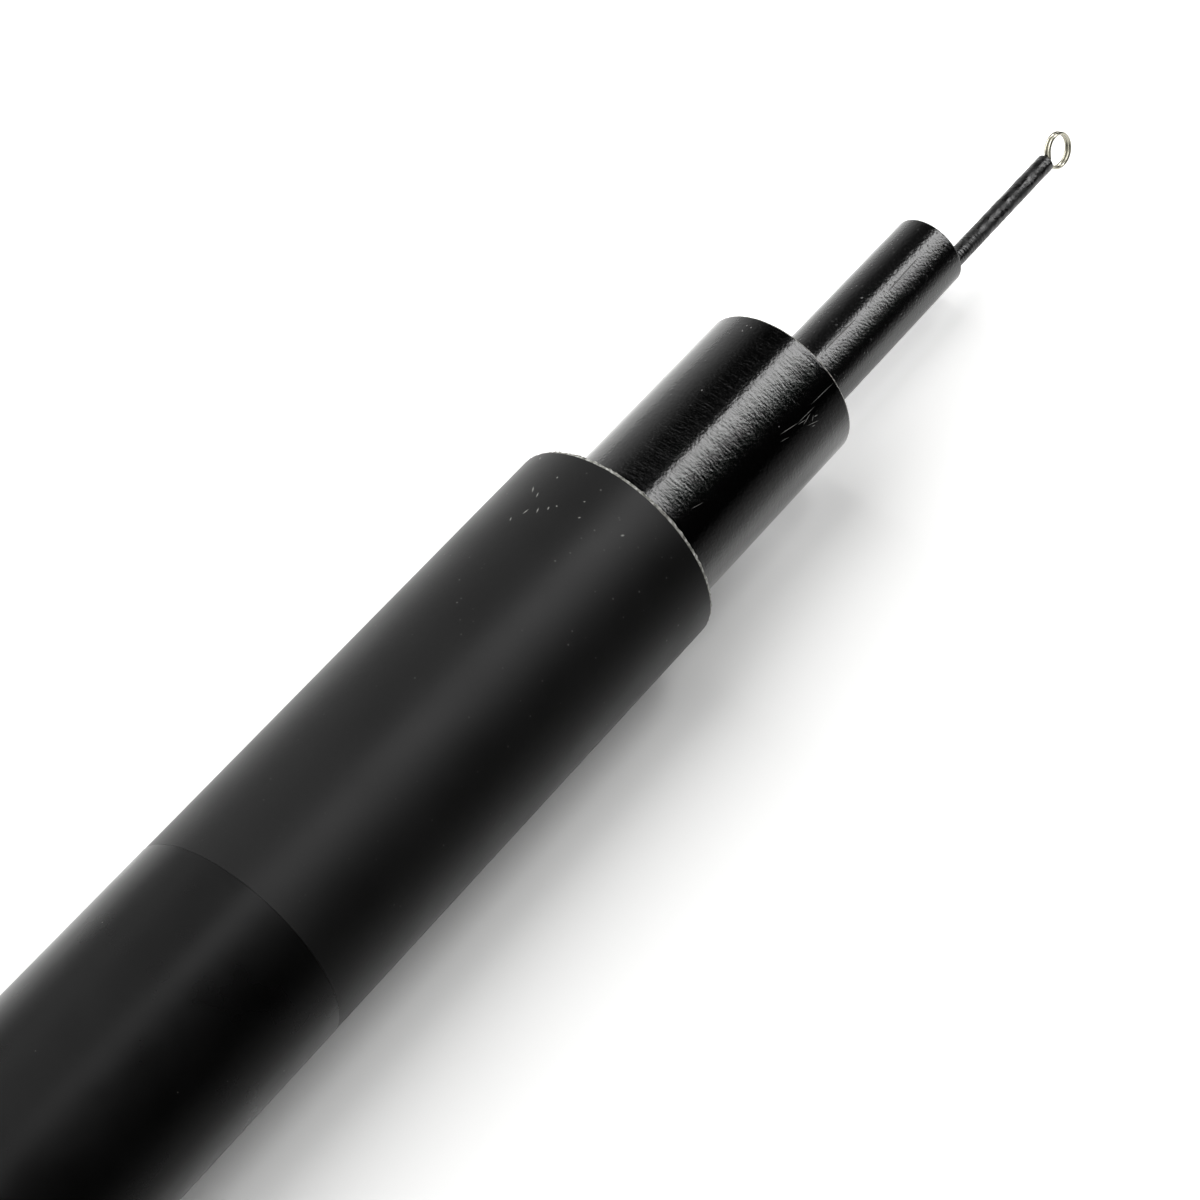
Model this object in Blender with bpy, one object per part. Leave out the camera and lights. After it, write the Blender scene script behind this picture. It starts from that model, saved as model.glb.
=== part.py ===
"""Telescopic pole rod of the 4 m class, four sections, closed and lying on its side.

Metres, +X from the butt towards the tip, +Z up. The origin is on the surface that
the rod lies on, under the middle of its closed length.

Every section is a tapered tube, and each one lies along the bottom of the bore of
the section around it, as gravity leaves it. A cone that lies on a flat line leans
by its own half taper, so all the bottom lines here are level and every section
slides straight along +X. Pulled out, a section jams in its parent's mouth.
"""

import math

import bmesh
import bpy
from mathutils import Matrix, Vector

MM = 0.001

# Butt section: the outermost tube
BUTT_LENGTH = 1010 * MM
BUTT_BASE_OD = 29.6 * MM
BUTT_MOUTH_OD = 25.0 * MM
BUTT_WALL = 1.15 * MM
BUTT_RIM = 0.30 * MM

# Second section
TWO_STANDS_OUT = 28.3 * MM
TWO_MOUTH_STEP = 2.05 * MM
TWO_WALL = 0.82 * MM
TWO_RIM = 0.18 * MM
TWO_OVERLAP = 65 * MM

# Third section
THREE_STANDS_OUT = 27.85 * MM
THREE_MOUTH_STEP = 4.16 * MM
THREE_WALL = 0.60 * MM
THREE_RIM = 0.12 * MM
THREE_OVERLAP = 60 * MM

# Tip section
TIP_STANDS_OUT = 19.2 * MM
TIP_END_OD = 0.70 * MM
TIP_WALL = 0.65 * MM
TIP_BORE_END = 0.50 * MM
TIP_RIM = 0.10 * MM
TIP_OVERLAP = 50 * MM
TIP_LEAN_DEG = 65.0
TIP_RINGS = 12

# What a section needs round it, and what touching pieces keep between them
JOINT_CLEARANCE = 0.08 * MM
REST_GAP = 0.05 * MM
LEAN_GAP = 0.03 * MM
SEAT_GAP = 0.30 * MM
GLUE_GAP = 0.10 * MM
BOUND_GAP = 0.02 * MM

# Clear film round the butt section
FILM_BEHIND_MOUTH = 59.5 * MM
FILM_FROM_BASE = 30 * MM
FILM_THICKNESS = 0.10 * MM
FILM_EDGE_GAP = 0.10 * MM
FILM_INSET = 0.01 * MM

# Line eye, whipping and shrink sleeve at the tip
WIRE = 0.41 * MM
EYE_OD = 4.27 * MM
EYE_TURN_GAP = 0.04 * MM
EYE_OPEN_DEG = 40.0
EYE_ROLL_DEG = 24.0
EYE_STANDOFF = 0.10 * MM
EYE_LEG = 17.0 * MM
EYE_LEG_CURVE = 0.40 * MM
EYE_BEND = 0.50 * MM
EYE_STEPS_PER_TURN = 32
WHIPPING_LENGTH = 6.0 * MM
WHIPPING_SHORT = 13.0 * MM
WHIPPING_THICKNESS = 0.07 * MM
SLEEVE_WALL = 0.10 * MM
SLEEVE_LENGTH = 26.0 * MM
SLEEVE_ROUND = 0.10 * MM
BLANK_SHORT = 0.20 * MM

# Butt end: bush, washer, screw cap, pad and buffer
PAD_RADIUS = 9.2 * MM
PAD_THICKNESS = 2.2 * MM
PAD_PROUD = 0.6 * MM
PAD_EDGE = 0.4 * MM
CAP_HEAD = 9.0 * MM
CAP_INSET = 0.2 * MM
CAP_EDGE = 0.8 * MM
CAP_BACK_EDGE = 0.3 * MM
FLUTES = 20
FLUTE_RADIUS = 1.6 * MM
FLUTE_DEPTH = 0.6 * MM
FLUTE_LAND = 1.6 * MM
FLUTE_SIDES = 16
STEM_LENGTH = 16.0 * MM
STEM_CHAMFER = 0.5 * MM
THREAD_CLEARANCE = 0.10 * MM
WASHER_THICKNESS = 1.0 * MM
WASHER_INSET = 0.5 * MM
WASHER_EDGE = 0.2 * MM
BUSH_FLANGE = 2.0 * MM
BUSH_EDGE = 0.25 * MM
BUSH_PASSAGE = 0.25 * MM
BUFFER_POCKET = 4.0 * MM
BUFFER_POCKET_WALL = 1.7 * MM
BUFFER_PROUD = 2.0 * MM
BUFFER_HEAD_INSET = 0.5 * MM
BUFFER_EDGE = 0.4 * MM

# Round pieces: the big ones are coarse enough to rest on a flat without rolling
SIDES = 40
TIP_SIDES = 32
SMALL_SIDES = 24
SHARP_ANGLE = math.radians(30)


class Section:
    """One tapered tube, lying on a level line."""

    def __init__(self, start, length, base, mouth, wall, line, sides):
        self.start = start
        self.length = length
        self.base = base
        self.mouth = mouth
        self.wall = wall
        self.sides = sides
        self.taper = (base - mouth) / length
        flat = math.cos(math.pi / sides)
        self.lean = math.atan(self.taper * flat)
        self.axis_height = base * flat * math.cos(self.lean)
        self.origin = Vector((start, 0, line + self.axis_height))
        self.bore_line = line + wall * flat * math.cos(self.lean)
        self.matrix = Matrix.Translation(self.origin) @ Matrix.Rotation(self.lean, 4, "Y")

    def radius(self, along):
        """Outer radius at a distance from the base end."""
        return self.base - self.taper * along

    def bore(self, along):
        """Bore radius at a distance from the base end."""
        return self.radius(along) - self.wall

    def point(self, along):
        """World place of the axis at a distance from the base end."""
        return self.matrix @ Vector((along, 0, 0))

    def fitting_base(self, overlap):
        """Radius of a base end that jams at this overlap inside the mouth."""
        return self.bore(self.length - overlap) - JOINT_CLEARANCE

    def next_mouth(self, step):
        """Mouth radius of the section inside, a step smaller than this bore's mouth."""
        return self.bore(self.length) - step


def clear_scene():
    for obj in list(bpy.data.objects):
        bpy.data.objects.remove(obj, do_unlink=True)


def finish(name, hex_colour, roughness, metallic=0.0):
    """A plain Principled material, one for each piece."""
    channels = [int(hex_colour[i : i + 2], 16) / 255 for i in (0, 2, 4)]
    linear = [c / 12.92 if c <= 0.04045 else ((c + 0.055) / 1.055) ** 2.4 for c in channels]
    material = bpy.data.materials.new(name)
    material.use_nodes = True
    shader = material.node_tree.nodes["Principled BSDF"]
    shader.inputs["Base Color"].default_value = (*linear, 1)
    shader.inputs["Roughness"].default_value = roughness
    shader.inputs["Metallic"].default_value = metallic
    return material


def add_object(name, data, material, parent=None, matrix=None):
    obj = bpy.data.objects.new(name, data)
    bpy.context.collection.objects.link(obj)
    data.materials.append(material)
    if parent is not None:
        obj.parent = parent
    if matrix is not None:
        obj.matrix_local = matrix
    return obj


def turned_mesh(name, outline, sides, closed=True):
    """Spin an outline of (x, radius) points round X. A flat of the polygon faces down."""
    mesh = bpy.data.meshes.new(name)
    bm = bmesh.new()
    half = math.pi / sides
    profile = [bm.verts.new((x, r * math.sin(half), r * math.cos(half))) for x, r in outline]
    edges = [bm.edges.new(pair) for pair in zip(profile, profile[1:])]
    if closed:
        edges.append(bm.edges.new((profile[-1], profile[0])))
    bmesh.ops.spin(
        bm,
        geom=profile + edges,
        cent=(0, 0, 0),
        axis=(1, 0, 0),
        angle=math.tau,
        steps=sides,
        use_merge=True,
    )
    bmesh.ops.remove_doubles(bm, verts=bm.verts, dist=0.001 * MM)
    bmesh.ops.recalc_face_normals(bm, faces=bm.faces)
    bm.to_mesh(mesh)
    bm.free()
    mesh.shade_smooth()
    mesh.set_sharp_from_angle(angle=SHARP_ANGLE)
    return mesh


def tube_outline(section, rim, recess=()):
    """Wall of a section as a closed outline, with its edges broken at both ends."""
    end = section.length
    outside = [(0, section.radius(0) - rim), (rim, section.radius(rim))]
    outside += list(recess)
    outside += [(end - rim, section.radius(end - rim)), (end, section.radius(end) - rim)]
    inside = [(end, section.bore(end)), (0, section.bore(0))]
    return outside + inside


def make_sections():
    """Lay the four sections out, each on the bottom of the bore round it."""
    cap_face = PAD_PROUD
    washer_start = cap_face + CAP_HEAD + SEAT_GAP
    bush_start = washer_start + WASHER_THICKNESS + SEAT_GAP
    butt_start = bush_start + BUSH_FLANGE + SEAT_GAP
    stem_end = cap_face + CAP_HEAD + STEM_LENGTH
    inner_start = stem_end + BUFFER_PROUD + SEAT_GAP

    butt_mouth = butt_start + BUTT_LENGTH
    two_mouth = butt_mouth + TWO_STANDS_OUT
    three_mouth = two_mouth + THREE_STANDS_OUT
    sleeve_end = three_mouth + TIP_STANDS_OUT
    closed_length = sleeve_end + EYE_STANDOFF + EYE_OD
    shift = -closed_length / 2

    butt = Section(
        shift + butt_start, BUTT_LENGTH, BUTT_BASE_OD / 2, BUTT_MOUTH_OD / 2, BUTT_WALL, 0, SIDES
    )
    two = Section(
        shift + inner_start,
        two_mouth - inner_start,
        butt.fitting_base(TWO_OVERLAP),
        butt.next_mouth(TWO_MOUTH_STEP),
        TWO_WALL,
        butt.bore_line + REST_GAP,
        SIDES,
    )
    three = Section(
        shift + inner_start,
        three_mouth - inner_start,
        two.fitting_base(THREE_OVERLAP),
        two.next_mouth(THREE_MOUTH_STEP),
        THREE_WALL,
        two.bore_line + REST_GAP,
        SIDES,
    )
    tip = Section(
        shift + inner_start,
        sleeve_end - BLANK_SHORT - inner_start,
        three.fitting_base(TIP_OVERLAP),
        TIP_END_OD / 2,
        TIP_WALL,
        three.bore_line + REST_GAP,
        TIP_SIDES,
    )
    stations = {
        "pad": shift,
        "cap": shift + cap_face,
        "washer": shift + washer_start,
        "bush": shift + bush_start,
        "stem_end": shift + stem_end,
    }
    return butt, two, three, tip, stations


def slide_travel(child, parent, overlap):
    """How far a section comes out before it jams in its parent's mouth."""
    return parent.start + parent.length - overlap - child.start


def make_butt(butt):
    """Butt tube, with the shallow seat that its film lies in."""
    front = butt.length - FILM_BEHIND_MOUTH
    seat_depth = FILM_THICKNESS + GLUE_GAP
    seat_start = FILM_FROM_BASE - FILM_EDGE_GAP
    seat_end = front + FILM_EDGE_GAP
    recess = [
        (seat_start, butt.radius(seat_start)),
        (seat_start, butt.radius(seat_start) - seat_depth),
        (seat_end, butt.radius(seat_end) - seat_depth),
        (seat_end, butt.radius(seat_end)),
    ]
    tube = add_object(
        "butt_section",
        turned_mesh("butt_section", tube_outline(butt, BUTT_RIM, recess), butt.sides),
        finish("matt_black_lacquer", "262626", 0.55),
        matrix=butt.matrix,
    )
    film_outline = [
        (FILM_FROM_BASE, butt.radius(FILM_FROM_BASE) - FILM_INSET),
        (front, butt.radius(front) - FILM_INSET),
        (front, butt.radius(front) - FILM_THICKNESS),
        (FILM_FROM_BASE, butt.radius(FILM_FROM_BASE) - FILM_THICKNESS),
    ]
    add_object(
        "butt_film",
        turned_mesh("butt_film", film_outline, butt.sides),
        finish("satin_clear_film", "1C1C1C", 0.38),
        parent=tube,
    )
    return tube


def make_inner_sections(two, three):
    """Second and third sections, plain tapered tubes."""
    add_object(
        "section_two",
        turned_mesh("section_two", tube_outline(two, TWO_RIM), two.sides),
        finish("gloss_black_lacquer", "0C0C0C", 0.18),
        matrix=two.matrix,
    )
    add_object(
        "section_three",
        turned_mesh("section_three", tube_outline(three, THREE_RIM), three.sides),
        finish("gloss_black_lacquer_fine", "0B0B0B", 0.22),
        matrix=three.matrix,
    )


def tip_set(tip, three):
    """How far the slim tip is bowed at its end, across and up.

    The tip has a slight set, so where it leaves the third section its sleeve lies
    against the side of the mouth and not against the bottom.
    """
    mouth = three.length
    lean = three.bore(mouth) - sleeve_radii(tip)[1] - LEAN_GAP
    angle = math.radians(TIP_LEAN_DEG)
    wanted = three.point(mouth) - Vector((0, math.sin(angle), math.cos(angle))) * lean
    straight = tip.point(mouth)
    bow = (wanted - straight) * (tip.length / mouth) ** 2
    return Vector((0, bow.y, bow.z))


def make_tip_blank(tip, bow):
    """Slim tapered blank: hollow from its base until its bore has tapered out.

    Its outline runs from the bore's blind end back to the base, then out to the tip.
    """
    bore_end = (tip.base - TIP_WALL - TIP_BORE_END) / tip.taper
    outline = [(bore_end, 0)]
    for i in range(TIP_RINGS, -1, -1):
        along = bore_end * i / TIP_RINGS
        outline.append((along, tip.bore(along)))
    outline += [(0, tip.base - TIP_RIM), (TIP_RIM, tip.radius(TIP_RIM))]
    for i in range(1, TIP_RINGS + 1):
        along = tip.length * i / TIP_RINGS
        outline.append((along, tip.radius(along)))
    outline.append((tip.length, 0))
    mesh = turned_mesh("tip_blank", outline, tip.sides, closed=False)
    for vertex in mesh.vertices:
        vertex.co += bow * (vertex.co.x / tip.length) ** 2
    return add_object("tip_blank", mesh, finish("dark_carbon", "141414", 0.3), matrix=tip.matrix)


def tip_frame(tip, bow):
    """Place and direction of the blank's end, in the blank's own axes."""
    end = Vector((tip.length, 0, 0)) + bow
    direction = Vector((1, 0, 0)) + 2 * bow / tip.length
    return Matrix.Translation(end) @ direction.to_track_quat("X", "Z").to_matrix().to_4x4()


def ring_outline(start, end, inner, outer, edge):
    """A ring's closed outline with its outer edges broken."""
    return [
        (start, inner),
        (start, outer - edge),
        (start + edge, outer),
        (end - edge, outer),
        (end, outer - edge),
        (end, inner),
    ]


def leg_side(tip, back):
    """How far a leg's centre line lies off the blank's axis, this far back from its end."""
    return tip.radius(tip.length - back) + BOUND_GAP + WIRE / 2


def whipping_radii(tip):
    """Inner and outer radius of the thread that binds the legs to the blank."""
    inner = leg_side(tip, EYE_LEG) + WIRE / 2 + BOUND_GAP
    return inner, inner + WHIPPING_THICKNESS


def sleeve_radii(tip):
    """Inner and outer radius of the shrink sleeve over the whipping."""
    inner = whipping_radii(tip)[1] + BOUND_GAP
    return inner, inner + SLEEVE_WALL


def eye_path(tip):
    """Centre line of the eye's wire, with x from the sleeve's end along the tip.

    One leg runs out along the blank, curves into a ring of two turns whose plane
    holds the tip's axis, and the other leg runs back on the blank's far side.
    Points are (x, across the ring, along the ring's own axis).
    """
    mean = (EYE_OD - WIRE) / 2
    centre = EYE_STANDOFF + EYE_OD / 2
    start_angle = math.pi - math.radians(EYE_OPEN_DEG)
    sweep = 2 * start_angle + math.tau
    steps = round(EYE_STEPS_PER_TURN * sweep / math.tau)
    rise = (WIRE + EYE_TURN_GAP) * sweep / math.tau

    ring = []
    for i in range(steps + 1):
        angle = start_angle - sweep * i / steps
        ring.append(
            Vector((centre + mean * math.cos(angle), mean * math.sin(angle), rise * (0.5 - i / steps)))
        )

    leg_start = Vector((-EYE_LEG, 0, leg_side(tip, EYE_LEG)))
    leg_end = Vector((-EYE_LEG_CURVE, 0, leg_side(tip, 0)))
    handle_out = leg_end + Vector((EYE_BEND, 0, 0))
    tangent = Vector((math.sin(start_angle), -math.cos(start_angle), 0))
    handle_in = ring[0] - tangent * EYE_BEND
    bend = []
    for i in range(8):
        t = i / 8
        bend.append(
            leg_end * (1 - t) ** 3
            + handle_out * 3 * t * (1 - t) ** 2
            + handle_in * 3 * t * t * (1 - t)
            + ring[0] * t**3
        )
    first = [leg_start] + bend
    last = [Vector((p.x, -p.y, -p.z)) for p in reversed(first)]
    return first + ring + last


def make_tip_fittings(tip, blank, frame):
    """Wire eye, thread whipping and shrink sleeve on the blank's end."""
    sleeve_end = Matrix.Translation((BLANK_SHORT, 0, 0))
    at_end = frame @ sleeve_end

    roll = Matrix.Rotation(math.radians(90 - EYE_ROLL_DEG), 4, "X")
    curve = bpy.data.curves.new("tip_eye", "CURVE")
    curve.dimensions = "3D"
    curve.bevel_depth = WIRE / 2
    curve.bevel_resolution = 2
    curve.use_fill_caps = True
    spline = curve.splines.new("POLY")
    path = eye_path(tip)
    spline.points.add(len(path) - 1)
    for point, place in zip(spline.points, path):
        point.co = (*place, 1)
    add_object(
        "tip_eye", curve, finish("bright_steel_wire", "D8D6CC", 0.2, 1.0), blank, at_end @ roll
    )

    inner, outer = whipping_radii(tip)
    whipping = [
        (-WHIPPING_SHORT - WHIPPING_LENGTH, inner),
        (-WHIPPING_SHORT - WHIPPING_LENGTH, outer),
        (-WHIPPING_SHORT, outer),
        (-WHIPPING_SHORT, inner),
    ]
    add_object(
        "tip_whipping",
        turned_mesh("tip_whipping", whipping, SMALL_SIDES),
        finish("black_thread", "101010", 0.6),
        blank,
        at_end,
    )
    inner, outer = sleeve_radii(tip)
    sleeve = ring_outline(-SLEEVE_LENGTH, 0, inner, outer, SLEEVE_ROUND)
    add_object(
        "tip_sleeve",
        turned_mesh("tip_sleeve", sleeve, SMALL_SIDES),
        finish("black_shrink_sleeve", "1A1A18", 0.45),
        blank,
        at_end,
    )


def axis_matrix(butt, station):
    """Place on the butt's axis line at a world x station, turned along the axis."""
    along = (station - butt.start) / math.cos(butt.lean)
    return butt.matrix @ Matrix.Translation((along, 0, 0))


def make_bush(butt, stations):
    """Bush bonded into the butt: wide enough to let the second section out backwards.

    It ends where the cap's stem ends, so the sections lie clear in front of it.
    """
    passage = butt.fitting_base(TWO_OVERLAP) + BUSH_PASSAGE
    end = stations["stem_end"] - stations["bush"]
    inside_butt = stations["stem_end"] - butt.start
    sleeve = butt.bore(inside_butt) - GLUE_GAP
    flange = BUTT_BASE_OD / 2 - CAP_INSET
    outline = [
        (0, passage),
        (0, flange - BUSH_EDGE),
        (BUSH_EDGE, flange),
        (BUSH_FLANGE, flange),
        (BUSH_FLANGE, sleeve),
        (end, sleeve),
        (end, passage),
    ]
    add_object(
        "butt_bush",
        turned_mesh("butt_bush", outline, SIDES),
        finish("black_nylon", "1B1B1B", 0.5),
        matrix=axis_matrix(butt, stations["bush"]),
    )
    return passage


def make_washer(butt, station, passage):
    outer = BUTT_BASE_OD / 2 - CAP_INSET - WASHER_INSET
    outline = ring_outline(0, WASHER_THICKNESS, passage, outer, WASHER_EDGE)
    return add_object(
        "cap_washer",
        turned_mesh("cap_washer", outline, SIDES),
        finish("black_rubber", "141414", 0.75),
        matrix=axis_matrix(butt, station),
    )


def flute_cutter(head_radius):
    """Round grip flutes along the cap's edge, kept clear of its two faces."""
    mesh = bpy.data.meshes.new("flute_cutter")
    bm = bmesh.new()
    length = CAP_HEAD - 2 * FLUTE_LAND
    reach = head_radius + FLUTE_RADIUS - FLUTE_DEPTH
    for i in range(FLUTES):
        turn = Matrix.Rotation(math.tau * i / FLUTES, 4, "X")
        place = Matrix.Translation((CAP_HEAD / 2, 0, reach)) @ Matrix.Rotation(math.pi / 2, 4, "Y")
        bmesh.ops.create_cone(
            bm,
            cap_ends=True,
            segments=FLUTE_SIDES,
            radius1=FLUTE_RADIUS,
            radius2=FLUTE_RADIUS,
            depth=length,
            matrix=turn @ place,
        )
    bm.to_mesh(mesh)
    bm.free()
    return mesh


def make_cap(butt, stations, passage):
    """Screw cap: fluted head, threaded stem, a pocket for the buffer, a seat for the pad.

    The buffer is a foam plug whose head covers the stem's end, so that the sections
    inside rest on it wherever they lie.
    """
    head = BUTT_BASE_OD / 2 - CAP_INSET
    stem = passage - THREAD_CLEARANCE
    stem_end = CAP_HEAD + STEM_LENGTH
    pocket = stem - BUFFER_POCKET_WALL
    pocket_floor = stem_end - BUFFER_POCKET
    seat_depth = PAD_THICKNESS - PAD_PROUD + SEAT_GAP
    pad_seat = PAD_RADIUS + SEAT_GAP
    outline = [
        (seat_depth, 0),
        (seat_depth, pad_seat),
        (0, pad_seat),
        (0, head - CAP_EDGE),
        (CAP_EDGE, head),
        (CAP_HEAD - CAP_BACK_EDGE, head),
        (CAP_HEAD, head - CAP_BACK_EDGE),
        (CAP_HEAD, stem),
        (stem_end - STEM_CHAMFER, stem),
        (stem_end, stem - STEM_CHAMFER),
        (stem_end, pocket),
        (pocket_floor, pocket),
        (pocket_floor, 0),
    ]
    cap = add_object(
        "butt_cap",
        turned_mesh("butt_cap", outline, SIDES, closed=False),
        finish("black_moulded_nylon", "202020", 0.5),
        matrix=axis_matrix(butt, stations["cap"]),
    )
    cutter = add_object("flute_cutter", flute_cutter(head), cap.data.materials[0], parent=cap)
    cutter.hide_render = True
    cutter.display_type = "WIRE"
    flutes = cap.modifiers.new("Flutes", "BOOLEAN")
    flutes.operation = "DIFFERENCE"
    flutes.object = cutter

    pad_outline = [
        (0, 0),
        (0, PAD_RADIUS - PAD_EDGE),
        (PAD_EDGE, PAD_RADIUS),
        (PAD_THICKNESS, PAD_RADIUS),
        (PAD_THICKNESS, 0),
    ]
    add_object(
        "cap_pad",
        turned_mesh("cap_pad", pad_outline, SIDES, closed=False),
        finish("black_rubber_pad", "161616", 0.8),
        parent=cap,
        matrix=Matrix.Translation((-PAD_PROUD, 0, 0)),
    )
    plug_start = pocket_floor + SEAT_GAP
    plug_radius = pocket - SEAT_GAP
    head_start = stem_end + SEAT_GAP
    head_end = stem_end + BUFFER_PROUD
    head_radius = stem - BUFFER_HEAD_INSET
    buffer_outline = [
        (plug_start, 0),
        (plug_start, plug_radius),
        (head_start, plug_radius),
        (head_start, head_radius),
        (head_end - BUFFER_EDGE, head_radius),
        (head_end, head_radius - BUFFER_EDGE),
        (head_end, 0),
    ]
    add_object(
        "section_buffer",
        turned_mesh("section_buffer", buffer_outline, SIDES, closed=False),
        finish("grey_foam", "4A4A4A", 0.9),
        parent=cap,
    )


def main():
    clear_scene()
    butt, two, three, tip, stations = make_sections()
    make_butt(butt)
    make_inner_sections(two, three)
    bow = tip_set(tip, three)
    blank = make_tip_blank(tip, bow)
    make_tip_fittings(tip, blank, tip_frame(tip, bow))
    passage = make_bush(butt, stations)
    make_washer(butt, stations["washer"], passage)
    make_cap(butt, stations, passage)
    print("travel of section two", round(slide_travel(two, butt, TWO_OVERLAP), 5))
    print("travel of section three", round(slide_travel(three, two, THREE_OVERLAP), 5))
    print("travel of the tip", round(slide_travel(tip, three, TIP_OVERLAP), 5))


main()
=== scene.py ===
# %% [markdown]
# # A telescopic pole rod, closed for transport
#
# Four tapered tubes lie inside each other, and only their last few centimetres show:
# the matt butt section, two gloss black sections and the slim tip with its wire eye.
# The far end is closed with a bush, a washer and a screw cap. The CAD model gives every
# size and joint, and this script gives the rod its real surfaces. It draws each piece
# again as a finely turned one, paints it, and tells it which moving body it rides on.

import math

import bpy
from mathutils import Matrix, Vector


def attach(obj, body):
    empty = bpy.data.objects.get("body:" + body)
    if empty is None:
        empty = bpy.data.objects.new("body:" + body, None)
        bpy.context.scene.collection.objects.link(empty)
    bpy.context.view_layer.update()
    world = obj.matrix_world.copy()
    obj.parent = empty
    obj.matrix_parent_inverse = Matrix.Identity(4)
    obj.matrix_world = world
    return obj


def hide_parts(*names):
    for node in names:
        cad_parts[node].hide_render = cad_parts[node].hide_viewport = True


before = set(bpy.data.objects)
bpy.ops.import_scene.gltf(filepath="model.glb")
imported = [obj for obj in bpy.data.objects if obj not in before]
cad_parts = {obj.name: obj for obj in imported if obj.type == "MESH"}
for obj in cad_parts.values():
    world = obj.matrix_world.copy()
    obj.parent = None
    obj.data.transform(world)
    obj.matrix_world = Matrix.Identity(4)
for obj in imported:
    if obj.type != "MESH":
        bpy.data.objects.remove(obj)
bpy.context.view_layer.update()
MM = 0.001

# %% [markdown]
# ## The camera
#
# The photograph was taken from about 43 cm, above and behind the mouth of the butt
# section, with a long lens. Its place was worked out from the outlines of the tubes, so
# the numbers below are three directions and a point. A camera looks along its own -Z.

# %% Camera at the photograph's viewing angle
camera_data = bpy.data.cameras.new("camera")
camera = bpy.data.objects.new("camera", camera_data)
bpy.context.scene.collection.objects.link(camera)
camera_data.lens = 126.86
camera_data.clip_start = 0.01
camera_data.clip_end = 200
right = Vector((0.60822, -0.79268, -0.04155))
up = Vector((0.64556, 0.46352, 0.60696))
back = Vector((-0.46187, -0.39599, 0.79364))
camera.matrix_world = Matrix.Translation((0.26799, -0.17223, 0.35156)) @ Matrix(
    (right, up, back)
).transposed().to_4x4()
bpy.context.scene.camera = camera
bpy.context.scene.view_settings.view_transform = "Standard"
print("camera to the butt's mouth: %.0f mm" % ((camera.location - Vector((0.472, 0, 0.012))).length / MM))

# %% [markdown]
# ## Small helpers for materials
#
# Colours are easiest to read as the hex codes of a colour picker, but Blender calculates
# with linear light, so one function turns the one into the other. Node trees are built
# with one function too. It adds a node and sets its sockets, each to a plain value or to
# what another node gives.


# %% Colour and node helpers
def colour(code):
    """sRGB hex code to the linear RGBA that shaders calculate with."""
    channels = [int(code[i : i + 2], 16) / 255 for i in (0, 2, 4)]
    return [c / 12.92 if c <= 0.04045 else ((c + 0.055) / 1.055) ** 2.4 for c in channels] + [1.0]


def feed(node, sockets):
    """Sets a node's sockets. A value is a number, a hex code, a node or one of its outputs."""
    for socket, value in sockets.items():
        if isinstance(value, str):
            value = colour(value)
        if isinstance(value, bpy.types.Node):
            value = value.outputs[0]
        if isinstance(value, bpy.types.NodeSocket):
            node.id_data.links.new(value, node.inputs[socket])
        else:
            node.inputs[socket].default_value = value


def add(tree, kind, sockets=None, **settings):
    """Adds a node with its settings and feeds its sockets. "Math" stands for "ShaderNodeMath"."""
    node = tree.nodes.new("ShaderNode" + kind)
    for name, value in settings.items():
        setattr(node, name, value)
    feed(node, sockets or {})
    return node


# %% [markdown]
# ## The studio
#
# Glossy black shows nothing but what it mirrors, so the lights make most of this picture.
# The narrow bright band along the tubes is a softbox above the tip end, and a larger one,
# high on the far left, lights the matt butt and throws the shadow to the right. Both are
# painted into the world, which gives them soft edges and lights a rod pulled out to 4 m
# evenly. As the rod lies along X, a light's place is told by how far its direction leans
# along the rod (the sine of the angle) and by its angle round the rod, from straight up.
# One edge of the tip's softbox is slanted, which makes the fine lines on the tubes comb
# the edge of its reflection.

# %% Softboxes painted into the world
world = bpy.data.worlds.new("studio")
bpy.context.scene.world = world
world.use_nodes = True
tree = world.node_tree
tree.nodes.clear()
SOFTBOXES = {
    # name: (strength, along from, to, softness, degrees round from, to, softness, slant)
    "tip_softbox": (9.5, 0.45, 0.74, 0.04, -20.5, -1, 2.5, -200),
    "far_softbox": (3.7, -0.80, 0.14, 0.10, 6, 54, 8, 0),
    "far_wall": (1.15, -1.2, 1.2, 0.10, 62, 180, 32, 0),
    "grey_gap": (1.15, -0.9, 0.42, 0.03, -20, 60, 14, 0),
    "near_fill": (0.45, -0.85, 0.10, 0.10, -82, -42, 8, 0),
}
SLANT_FROM = 0.5  # place along the rod at which a slanted edge has the angle given
ROOM_LIGHT = 0.008
x, y, z = add(tree, "SeparateXYZ", {0: add(tree, "TexCoord").outputs["Generated"]}).outputs
turn = add(tree, "Math", {0: y, 1: z}, operation="ARCTAN2")
light = ROOM_LIGHT
for strength, start, stop, soft, low, high, blur, slant in SOFTBOXES.values():
    slanted = add(tree, "Math", {0: x, 1: math.radians(-slant), 2: turn}, operation="MULTIPLY_ADD")
    blur = math.radians(blur)
    shape = 1.0
    for value, edge, width in (
        (x, start, soft),
        (x, stop, -soft),
        (slanted, math.radians(low - slant * SLANT_FROM), blur),
        (turn, math.radians(high), -blur),
    ):
        side = add(
            tree,
            "MapRange",
            {"Value": value, "From Min": edge - width, "From Max": edge + width},
            interpolation_type="SMOOTHSTEP",
        )
        shape = add(tree, "Math", {0: shape, 1: side}, operation="MULTIPLY")
    light = add(tree, "Math", {0: shape, 1: strength, 2: light}, operation="MULTIPLY_ADD")
seen = add(tree, "LightPath").outputs["Is Camera Ray"]
light = add(tree, "Mix", {0: seen, 2: light, 3: 1.0}, data_type="FLOAT")
shine = add(tree, "Background", {"Color": "FFFFFF", "Strength": light})
add(tree, "OutputWorld", {"Surface": shine})
print("softboxes:", list(SOFTBOXES))

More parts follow.
